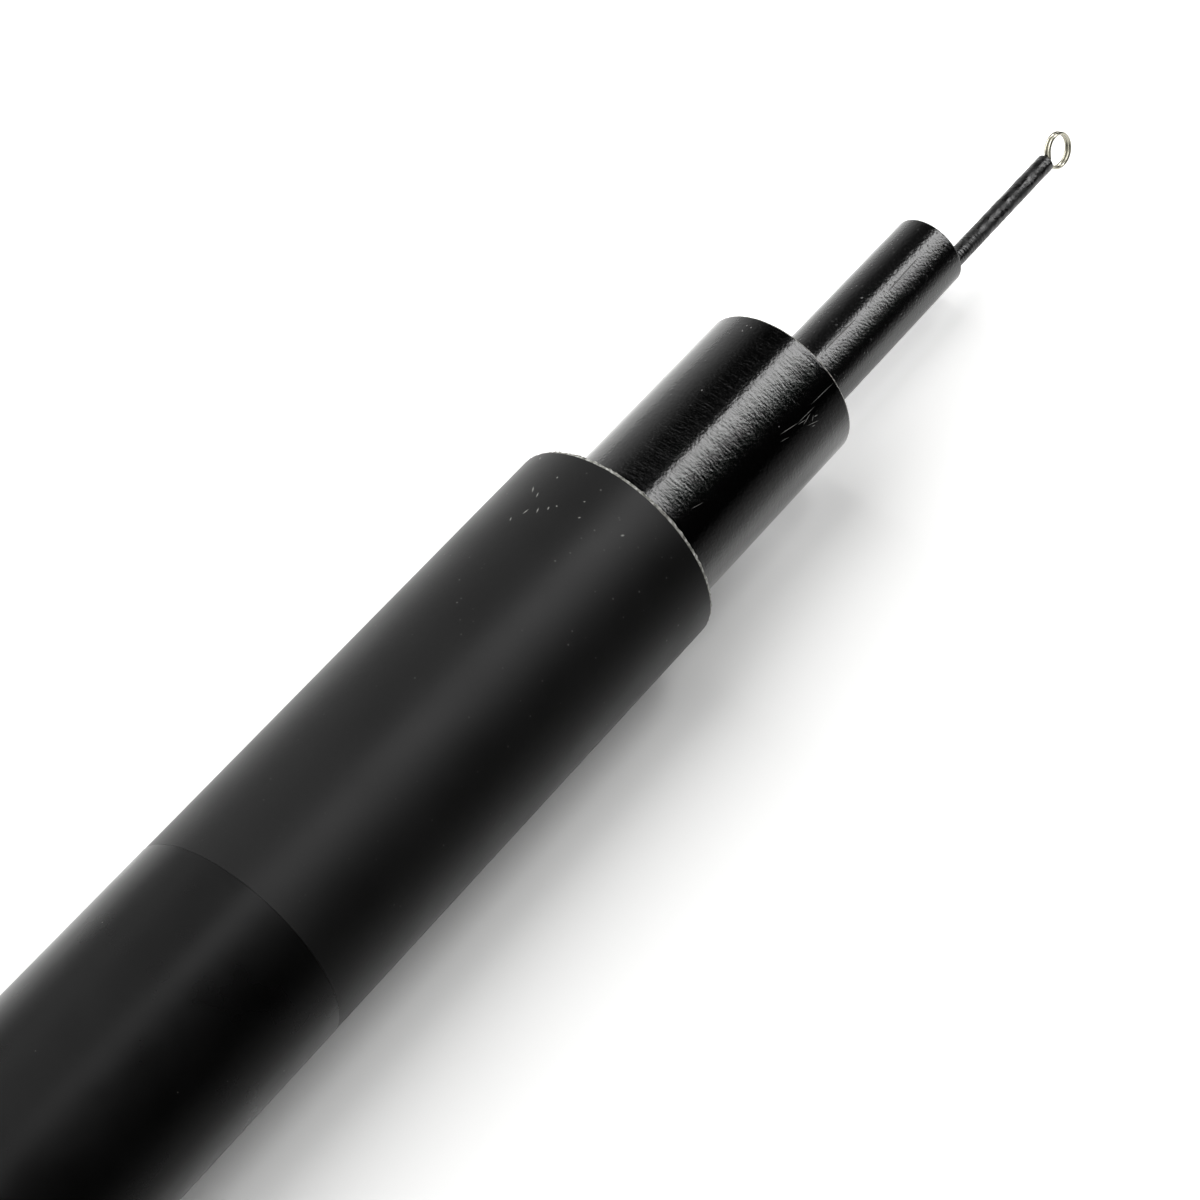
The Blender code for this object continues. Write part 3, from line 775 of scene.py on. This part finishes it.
# %% Frame of the tip's end
PAST_END = 0.2  # the frame stands this far past the blank's end
ROLL = math.radians(90 - 24)  # the ring stands 24 degrees off upright
ahead = Vector((1, 0, 0)) + 2 * BOW / TIP.length
tip_end = (
    TIP.matrix
    @ Matrix.Translation((Vector((TIP.length, 0, 0)) + BOW) * MM)
    @ ahead.to_track_quat("X", "Z").to_matrix().to_4x4()
    @ Matrix.Translation((PAST_END * MM, 0, 0))
)
eye_frame = tip_end @ Matrix.Rotation(ROLL, 4, "X")

# %% The wire's path
WIRE = 0.41
EYE_OD = 4.27
STANDOFF = 0.10
LEG = 17.0
LEG_GAP = 0.02
LEG_CURVE = 0.40
BEND = 0.50
BEND_STEPS = 16
OPEN = math.radians(40)
RISE_PER_TURN = WIRE + 0.04
STEPS_PER_TURN = 96


def leg_side(back):
    """How far a leg's middle line lies off the blank's axis, this far from its end."""
    return TIP_THIN + (TIP_THICK - TIP_THIN) * back / TIP.length + LEG_GAP + WIRE / 2


def eye_path():
    """The wire's middle line: x along the tip, y across the ring, z along its own axis."""
    mean = (EYE_OD - WIRE) / 2
    centre = STANDOFF + EYE_OD / 2
    first = math.pi - OPEN
    sweep = 2 * first + math.tau
    steps = round(STEPS_PER_TURN * sweep / math.tau)
    rise = RISE_PER_TURN * sweep / math.tau
    ring = []
    for i in range(steps + 1):
        angle = first - sweep * i / steps
        place = (centre + mean * math.cos(angle), mean * math.sin(angle), rise * (0.5 - i / steps))
        ring.append(Vector(place))
    leg_start = Vector((-LEG, 0, leg_side(LEG)))
    leg_end = Vector((-LEG_CURVE, 0, leg_side(0)))
    handle_out = leg_end + Vector((BEND, 0, 0))
    handle_in = ring[0] - Vector((math.sin(first), -math.cos(first), 0)) * BEND
    leg = [leg_start]
    for i in range(BEND_STEPS):
        t = i / BEND_STEPS
        near = leg_end * (1 - t) ** 3 + handle_out * 3 * t * (1 - t) ** 2
        leg.append(near + handle_in * 3 * t * t * (1 - t) + ring[0] * t**3)
    return leg + ring + [Vector((p.x, -p.y, -p.z)) for p in reversed(leg)]


# %% Stainless wire
# Hard-drawn wire: bright and faintly warm. The drawing die's lines are too fine to show,
# so a shallow grain of 0.12 mm stands for them.
steel, tree, shader, own = new_material("hard_drawn_stainless_wire", eye_frame)
lines = add(tree, "TexNoise", {"Vector": own, "Scale": 1 / 0.12, "Detail": 2})
relief = add(tree, "Bump", {"Height": lines, "Distance": 0.004 * MM})
feed(shader, {"Base Color": "A7A496", "Metallic": 1.0, "Roughness": 0.2, "Normal": relief})

# %% Wire eye
path = eye_path()
print("wire in the eye: %.1f mm" % sum((there - here).length for here, there in zip(path, path[1:])))
eye = chain("wire_eye", path)
bpy.ops.object.mode_set(mode="OBJECT")
bpy.ops.object.convert(target="CURVE")
eye = bpy.context.object
eye.data.bevel_depth = WIRE / 2 * MM
eye.data.bevel_resolution = 8
eye.data.use_fill_caps = True
bpy.ops.object.convert(target="MESH")
eye = bpy.context.object
clean(eye)
paint(eye, steel)
seat(eye, "tip_eye", "tip", eye_frame)

# %% [markdown]
# ## The whipping
#
# Thread is wound over the legs to tie them down. It is a flat thread of many filaments,
# so each turn lies as a low, broad ridge. The ridge's cross-section is a closed chain,
# which the Screw modifier winds round the tip, and the two open ends are then filled.


# %% Winding
def wound(name, outline, pitch, turns, steps):
    """Winds a closed outline of (along, radius) points round X, as a right-handed helix."""
    piece = chain(name, [Vector((along, 0, radius)) for along, radius in outline])
    close_chain(piece)
    bpy.ops.object.mode_set(mode="OBJECT")
    wind = piece.modifiers.new("wind", "SCREW")
    wind.axis = "X"
    wind.screw_offset = pitch * MM
    wind.iterations = turns
    wind.steps = wind.render_steps = steps
    bpy.ops.object.modifier_apply(modifier="wind")
    bpy.ops.object.mode_set(mode="EDIT")
    bpy.ops.mesh.select_all(action="SELECT")
    bpy.ops.mesh.fill_holes(sides=0)
    bpy.ops.object.mode_set(mode="OBJECT")
    clean(piece)
    return piece


# %% Nylon thread
# The filaments run round the tip and give a soft, silky sheen. They are really 0.02 mm
# thick and are drawn twice as coarse.
thread, tree, shader, own = new_material("flat_nylon_thread", tip_end)
filaments = add(tree, "Mapping", {"Vector": own, "Scale": per_mm(0.04, 0.8, 0.8)})
filaments = add(tree, "TexNoise", {"Vector": filaments, "Scale": 1, "Detail": 2})
relief = add(tree, "Bump", {"Height": filaments, "Distance": 0.01 * MM})
feed(shader, {"Base Color": "0C0C0C", "Roughness": 0.5, "Normal": relief})

# %% Whipping
THREAD_PITCH = 0.40
THREAD_WIDTH = 0.37
WHIP_START = -19.0
RIDGE_STEPS = 8
whip_in, whip_out = inside_sides(0.8554, 24), inside_sides(0.9254, 24)
middle = WHIP_START + THREAD_WIDTH / 2
ridge = []
for i in range(RIDGE_STEPS + 1):
    t = math.pi * i / RIDGE_STEPS
    ridge.append((middle - THREAD_WIDTH / 2 * math.cos(t), whip_in + (whip_out - whip_in) * math.sin(t)))
whipping = wound("thread_whipping", ridge, THREAD_PITCH, turns=14, steps=40)
paint(whipping, thread)
seat(whipping, "tip_whipping", "tip", tip_end)

# %% [markdown]
# ## The shrink sleeve
#
# A black plastic sleeve is shrunk over the whipping. It takes on what lies under it: the
# thread's turns print through as fine ridges, the glue under it makes soft lumps, and its
# end is drawn in over the wire. The ridges are rings in the outline, and the lumps come
# from a Displace modifier that only pushes inwards, so the sleeve keeps its size.

# %% Shrunk plastic
# Polyolefin tube, shrunk with heat: glossy where it was drawn tight, duller elsewhere
shrunk, tree, shader, own = new_material("heat_shrunk_polyolefin", tip_end)
glue = add(tree, "TexNoise", {"Vector": own, "Scale": 1 / 0.9, "Detail": 4})
relief = add(tree, "Bump", {"Height": glue, "Distance": 0.15 * MM})
patches = add(tree, "TexNoise", {"Vector": own, "Scale": 1 / 1.2, "Detail": 2})
gloss = add(
    tree,
    "MapRange",
    {"Value": patches, "From Min": 0.36, "From Max": 0.62, "To Min": 0.13, "To Max": 0.42},
)
feed(shader, {"Base Color": "0B0B0B", "Roughness": gloss})
feed(shader, {"Specular IOR Level": 0.38, "Normal": relief})

# %% Outside of the sleeve
SLEEVE_START = -26.0
sleeve_in, sleeve_out = inside_sides(0.9454, 24), inside_sides(1.0454, 24)
RIDGES_FROM, RIDGES_TO = -18.1, -13.2
RIDGE_HEIGHT = 0.024
SWELLING_FROM = 0.006
# Lumps of glue: place from the tip's end, half width and height, in mm
LUMPS = [
    (-10.9, 0.50, 0.014),
    (-9.4, 0.30, 0.022),
    (-8.4, 0.35, 0.022),
    (-4.6, 1.20, 0.012),
    (-1.2, 0.80, 0.010),
]


def sleeve_radius(x):
    """The sleeve's outside: thread ridges in the middle, soft swellings elsewhere."""
    if RIDGES_FROM < x < RIDGES_TO:
        turn = math.pi * (x - RIDGES_FROM) / THREAD_PITCH
        return sleeve_out + RIDGE_HEIGHT * (abs(math.sin(turn)) - 0.5)
    swelling = sum(height * math.exp(-(((x - at) / width) ** 2)) for at, width, height in LUMPS)
    return sleeve_out - SWELLING_FROM + swelling


# %% Shrink sleeve
outline = [(SLEEVE_START, sleeve_in), (SLEEVE_START, sleeve_out - 0.08)]
x = SLEEVE_START + 0.06
while x < -0.12:
    outline.append((x, sleeve_radius(x)))
    x += 0.05 if RIDGES_FROM - 0.1 < x < RIDGES_TO + 0.1 else 0.15
outline += arc(-0.12, sleeve_radius(0) - 0.12, 0.12, 75, 0)
outline += arc(-0.05, 0.88, 0.05, 0, -120)
outline += [(-0.25, 0.86), (-0.6, sleeve_in)]
sleeve = lathe("shrink_sleeve", outline, sides=72)
skin = sleeve.vertex_groups.new(name="skin")
outside = [v.index for v in sleeve.data.vertices if v.co.yz.length > (sleeve_in + 0.03) * MM]
skin.add(outside, 1.0, "REPLACE")
lumps = bpy.data.textures.new("lumps", "CLOUDS")
lumps.noise_scale = 0.8 * MM
dent = sleeve.modifiers.new("dent", "DISPLACE")
dent.texture = lumps
dent.texture_coords = "LOCAL"
dent.vertex_group = "skin"
dent.mid_level = 1.0
dent.strength = 0.035 * MM
bpy.ops.object.modifier_apply(modifier="dent")
paint(sleeve, shrunk)
seat(sleeve, "tip_sleeve", "tip", tip_end)

# %% [markdown]
# ## The bush and its thread
#
# The butt's end is closed by parts of moulded nylon. A bush is bonded into the tube, with
# a flange over the tube's end, and the cap screws into it. The thread is right-handed,
# with a pitch of 1.5 mm, and both halves are wound by the helper above: a ridge that is
# joined to the cap's stem, and a wider one that is cut out of the bush. Both are measured
# from the same place on the butt's axis, so they mesh at rest and as the cap turns.

# %% Moulded nylon
# Nylon with glass fibre: a faint cloudiness and the mould's spark-eroded grain, which is
# really under 0.1 mm and is drawn coarser, at 0.22 mm
moulded, tree, shader, own = new_material("moulded_glass_filled_nylon", BUTT.matrix)
grain = add(tree, "TexNoise", {"Vector": own, "Scale": 1 / 0.22, "Detail": 3, "Roughness": 0.6})
relief = add(tree, "Bump", {"Height": grain, "Distance": 0.014 * MM})
patches = add(tree, "TexNoise", {"Vector": own, "Scale": 1 / 5, "Detail": 3})
shades = add(tree, "Mix", {0: patches, 6: "101010", 7: "1E1E1D"}, data_type="RGBA")
gloss = add(tree, "MapRange", {"Value": patches, **NOISE_RANGE, "To Min": 0.52, "To Max": 0.4})
feed(shader, {"Base Color": shades.outputs[2], "Roughness": gloss, "Normal": relief})

# %% Places at the butt's end
# The CAD parts stand a seam apart. The turned ones fill most of it, and a hairline shows.
SEAM = 0.3
SHOW = 0.08
FLANGE = 2.0
WASHER = 1.0
HEAD = 9.0
PAD_PROUD = 0.6
bush_at = -SEAM - FLANGE
washer_at = bush_at - SEAM - WASHER
cap_at = washer_at - SEAM - HEAD
HEAD_RADIUS = inside_sides(14.6)
PASSAGE = inside_sides(11.668)
STEM = inside_sides(11.568)
PITCH = 1.5


def on_butt(along):
    """A place on the butt's axis, this many mm from the butt's end."""
    return BUTT.matrix @ Matrix.Translation((along * MM, 0, 0))


def combine(piece, other, how):
    """Joins another body to a piece (UNION) or cuts it out (DIFFERENCE)."""
    both = piece.modifiers.new("combine", "BOOLEAN")
    both.operation = how
    both.object = other
    pick(piece)
    bpy.ops.object.modifier_apply(modifier="combine")
    bpy.data.objects.remove(other)
    clean(piece)


# %% Form of the thread
GROOVE = 0.55
THREAD_AT = 1.0  # where a turn is centred, from the flange's face


def thread_form(middle, root, crest, inside, outside):
    """A thread's cross-section: half its width at root and at crest, and the radii of both."""
    rising = [(middle - root, inside), (middle - crest, outside)]
    return rising + [(middle + crest, outside), (middle + root, inside)]


# %% Bush
BUSH_LENGTH = 14.4
BUSH_SLEEVE = inside_sides(13.5224)
outline = [(0, PASSAGE + 0.35)]
outline += [(0, HEAD_RADIUS - 0.25)] + arc(0.25, HEAD_RADIUS - 0.25, 0.25, 180, 90)
outline += arc(FLANGE + SEAM - SHOW - 0.1, HEAD_RADIUS - 0.1, 0.1, 90, 0, 2)
outline += [(FLANGE + SEAM - SHOW, BUSH_SLEEVE)]
outline += [(BUSH_LENGTH - 0.4, BUSH_SLEEVE), (BUSH_LENGTH, BUSH_SLEEVE - 0.4)]
outline += [(BUSH_LENGTH, PASSAGE + 0.2), (BUSH_LENGTH - 0.2, PASSAGE), (0.35, PASSAGE)]
bush = lathe("threaded_bush", outline)
form = thread_form(THREAD_AT - 2 * PITCH, 0.70, 0.22, PASSAGE - 0.4, PASSAGE + GROOVE)
cutter = wound("bush_thread", form, PITCH, turns=13, steps=96)
combine(bush, cutter, "DIFFERENCE")
paint(bush, moulded)
seat(bush, "butt_bush", "butt", on_butt(bush_at))

# %% [markdown]
# ## The washer
#
# A ring of moulded rubber between cap and bush stops the cap from working loose. It is
# soft and dull, with the dust that rubber holds on to.

# %% Moulded rubber
# Black rubber: dull, with a greyish bloom in patches. The mould's grain is drawn coarser
# than it is, at 0.3 mm.
rubber, tree, shader, own = new_material("moulded_rubber", BUTT.matrix)
grain = add(tree, "TexNoise", {"Vector": own, "Scale": 1 / 0.3, "Detail": 4})
relief = add(tree, "Bump", {"Height": grain, "Distance": 0.02 * MM})
patches = add(tree, "TexNoise", {"Vector": own, "Scale": 1 / 2.5, "Detail": 4})
bloom = add(tree, "MapRange", {"Value": patches, "From Min": 0.5, "From Max": 0.75, "To Max": 0.35})
shades = add(tree, "Mix", {0: bloom, 6: "0C0C0C", 7: "3A3937"}, data_type="RGBA")
feed(shader, {"Base Color": shades.outputs[2], "Roughness": 0.78, "Normal": relief})

# %% Washer
WASHER_OUT = inside_sides(14.1)
gap = SEAM - SHOW
outline = [(-gap, PASSAGE)] + arc(-gap + 0.2, WASHER_OUT - 0.2, 0.2, 180, 90)
outline += arc(WASHER + gap - 0.2, WASHER_OUT - 0.2, 0.2, 90, 0) + [(WASHER + gap, PASSAGE)]
washer = lathe("rubber_washer", outline)
paint(washer, rubber)
seat(washer, "cap_washer", "washer", on_butt(washer_at))

# %% [markdown]
# ## The screw cap
#
# The cap has a head with twenty grip flutes, a threaded stem, a seat for the pad in its
# face and a pocket for the foam in its stem. A flute is what a ball-ended cutter leaves
# when it runs along the head, so its depth at any place follows from the cutter's round:
# the head is turned plain, with rings close enough, and the vertices under the cutter
# are drawn in to it. That gives the soft ends of a moulded flute without a Boolean.

# %% Grip flutes
FLUTES = 20
CUTTER = 1.6
FLUTE_DEPTH = 0.6
FLUTE_LAND = 1.6
SOFT = 0.08


def flute_radius(x, angle):
    """The head's radius at a place, as the cutter leaves it."""
    pitch = math.tau / FLUTES
    aside = (angle + pitch / 2) % pitch - pitch / 2
    reach = HEAD_RADIUS + CUTTER - FLUTE_DEPTH
    ball = math.sqrt(CUTTER**2 - (CUTTER - FLUTE_DEPTH) ** 2)
    past = max(0.0, FLUTE_LAND + ball - x, x - (HEAD - FLUTE_LAND - ball))
    under = CUTTER**2 - past**2 - (reach * math.sin(aside)) ** 2
    if under <= 0:
        return HEAD_RADIUS
    cut = reach * math.cos(aside) - math.sqrt(under)
    return (HEAD_RADIUS + cut - math.hypot(HEAD_RADIUS - cut, SOFT)) / 2


# %% Cap
STEM_END = 25.0
POCKET = inside_sides(9.868)
POCKET_FLOOR = 21.0
PAD_SEAT = inside_sides(9.5)
SEAT_DEPTH = 1.9
outline = [(SEAT_DEPTH, 0), (SEAT_DEPTH, PAD_SEAT - 0.2), (SEAT_DEPTH - 0.2, PAD_SEAT)]
outline += arc(0.15, PAD_SEAT + 0.15, 0.15, -90, -180)
outline += arc(0.8, HEAD_RADIUS - 0.8, 0.8, 180, 90, 6)
outline += [(1.2 + 0.2 * i, HEAD_RADIUS) for i in range(34)]
outline += arc(HEAD - 0.3, HEAD_RADIUS - 0.3, 0.3, 90, 0)
outline += [(HEAD, STEM + 0.15), (HEAD + 0.15, STEM), (STEM_END - 0.5, STEM), (STEM_END, STEM - 0.5)]
outline += [(STEM_END, POCKET + 0.1), (STEM_END - 0.1, POCKET), (POCKET_FLOOR, POCKET), (POCKET_FLOOR, 0)]
cap = lathe("screw_cap", outline, sides=400, closed=False)
for vertex in cap.data.vertices:
    x, y, z = vertex.co / MM
    out = math.hypot(y, z)
    if 1.0 < x < HEAD - 0.4 and out > HEAD_RADIUS - 0.01:
        drawn_in = flute_radius(x, math.atan2(y, z)) / out
        vertex.co.y *= drawn_in
        vertex.co.z *= drawn_in
form = thread_form(THREAD_AT + bush_at - cap_at, 0.62, 0.16, STEM - 0.3, PASSAGE + GROOVE - 0.10)
ridge = wound("stem_thread", form, PITCH, turns=8, steps=96)
combine(cap, ridge, "UNION")
paint(cap, moulded)
seat(cap, "butt_cap", "cap", on_butt(cap_at))

# %% [markdown]
# ## Pad and foam
#
# The rod stands on a rubber pad, moulded with shallow rings so that it grips. Inside, the
# ends of the other sections rest on a plug of foam, which keeps them from rattling. Foam
# is cut and not moulded, so its corners are soft and its skin shows open cells.

# %% Pad
PAD_RADIUS = inside_sides(9.2)
PAD_THICKNESS = 2.2
RING_RADII = (2.4, 4.6, 6.8)
RING_DEPTH = 0.25
outline = [(0, 0)]
for middle in RING_RADII:
    outline += [(0, middle - 0.40), (RING_DEPTH, middle - 0.25)]
    outline += [(RING_DEPTH, middle + 0.25), (0, middle + 0.40)]
outline += arc(0.4, PAD_RADIUS - 0.4, 0.4, 180, 90) + [(PAD_THICKNESS, PAD_RADIUS), (PAD_THICKNESS, 0)]
pad = lathe("rubber_pad", outline, closed=False)
paint(pad, rubber)
seat(pad, "cap_pad", "cap", on_butt(cap_at - PAD_PROUD))

# %% Foam
# Open-cell polyurethane foam: cells of about 0.45 mm, quite dull, with painted shade that darkens each
# cell towards its hollow middle
foam, tree, shader, own = new_material("open_cell_foam", BUTT.matrix)
cells = add(tree, "TexVoronoi", {"Vector": own, "Scale": 1 / 0.45})
relief = add(tree, "Bump", {"Height": cells, "Distance": 0.25 * MM})
# Painted shade: the colour darkens towards each cell's middle, where the relief is lowest
shades = add(tree, "Mix", {0: cells, 6: "2A2A2A", 7: "565654"}, data_type="RGBA")
feed(shader, {"Base Color": shades.outputs[2], "Roughness": 0.95, "Normal": relief})

# %% Foam buffer
PLUG, FACE = inside_sides(9.568), inside_sides(11.068)
PLUG_END, HEAD_FROM, FACE_AT = 21.3, 25.3, 27.0
SMALL, LARGE = 0.2, 0.5
# The rings lie close enough for the cells to roughen the faces
outline = [(PLUG_END, PLUG * i / 16) for i in range(16)]
outline += arc(PLUG_END + SMALL, PLUG - SMALL, SMALL, 180, 90, 3)
outline += [(22.0 + 0.5 * i, PLUG) for i in range(7)]
outline += [(HEAD_FROM, PLUG), (HEAD_FROM, (PLUG + FACE) / 2)]
outline += arc(HEAD_FROM + SMALL, FACE - SMALL, SMALL, 180, 90, 3)
outline += arc(FACE_AT - LARGE, FACE - LARGE, LARGE, 90, 0, 5)
outline += [(FACE_AT, FACE - LARGE - (FACE - LARGE) * i / 20) for i in range(1, 21)]
buffer = lathe("foam_buffer", outline, sides=160, closed=False)
roughen(buffer, 0.04, lambda p: math.hypot(p.y, p.z) > 0.5, seed=11)
paint(buffer, foam)
seat(buffer, "section_buffer", "cap", on_butt(cap_at))
